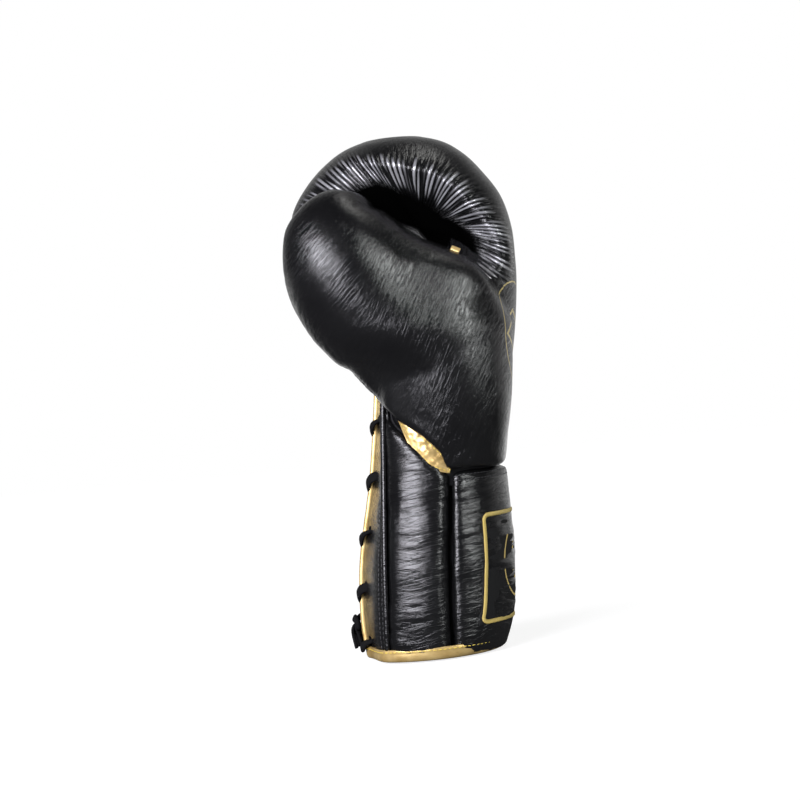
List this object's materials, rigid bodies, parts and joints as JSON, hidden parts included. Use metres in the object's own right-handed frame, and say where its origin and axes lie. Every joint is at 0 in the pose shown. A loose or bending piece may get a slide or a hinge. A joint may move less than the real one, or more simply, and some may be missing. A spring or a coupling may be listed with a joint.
{
  "type": "boxing glove",
  "caption": "Lace-up boxing glove for the right hand with padded cuff, curled fist pad, attached thumb and a lace through holes along the palm side of the cuff.",
  "frame": {"origin": "centre of the wrist opening, in the plane of the rim's binding", "axes": "+Z from the rim towards the knuckles, +X towards the back of the hand, -X towards the palm and the lacing, -Y towards the thumb"},
  "size_m": [0.1268, 0.1504, 0.295],
  "materials": {
    "black_leather": "satin",
    "gold_leather": "gloss",
    "foam": "matte",
    "lining": "matte",
    "lace": "matte",
    "patch": "matte",
    "patch_border": "satin",
    "grip": "matte"
  },
  "bodies": {
    "cuff": {"cuff_back_cover": "black_leather", "cuff_back_foam": "foam", "cuff_thumb_side_cover": "black_leather", "cuff_thumb_side_foam": "foam", "cuff_little_finger_side_cover": "black_leather", "cuff_little_finger_side_foam": "foam", "cuff_lining": "lining", "thumb_gusset": "gold_leather", "lacing_flap_thumb_side": "black_leather", "lacing_flap_little_finger_side": "black_leather", "lacing_piping_thumb_side": "gold_leather", "lacing_piping_little_finger_side": "gold_leather", "wrist_lace": "lace", "lace_knot": "lace", "cuff_binding": "gold_leather", "cuff_patch": "patch", "patch_border": "patch_border"},
    "hand": {"knuckle_cover": "black_leather", "hand_back_cover": "black_leather", "palm_cover": "black_leather", "hand_side_cover": "black_leather", "knuckle_pad_outer": "foam", "knuckle_pad_inner": "foam", "finger_pad": "foam", "back_hand_pad": "foam", "palm_pad": "foam", "hand_side_pad": "foam", "grip_bar": "grip", "hand_lining": "lining", "thumb_strap": "gold_leather"},
    "thumb": {"thumb_outer_cover": "black_leather", "thumb_inner_cover": "black_leather", "thumb_pad": "foam", "thumb_lining": "lining"}
  },
  "joints": [
    {"name": "wrist_fold", "type": "hinge", "parent": "cuff", "child": "hand", "pos_m": [-0.026, 0, 0.174], "axis": [0, -1, 0], "range_deg": [0, 12], "stiffness_Nm_per_rad": 0.6},
    {"name": "thumb_swing", "type": "hinge", "parent": "hand", "child": "thumb", "pos_m": [0.008, -0.052, 0.15], "axis": [1, 0, 0], "range_deg": [0, 6], "stiffness_Nm_per_rad": 0.3}
  ]
}
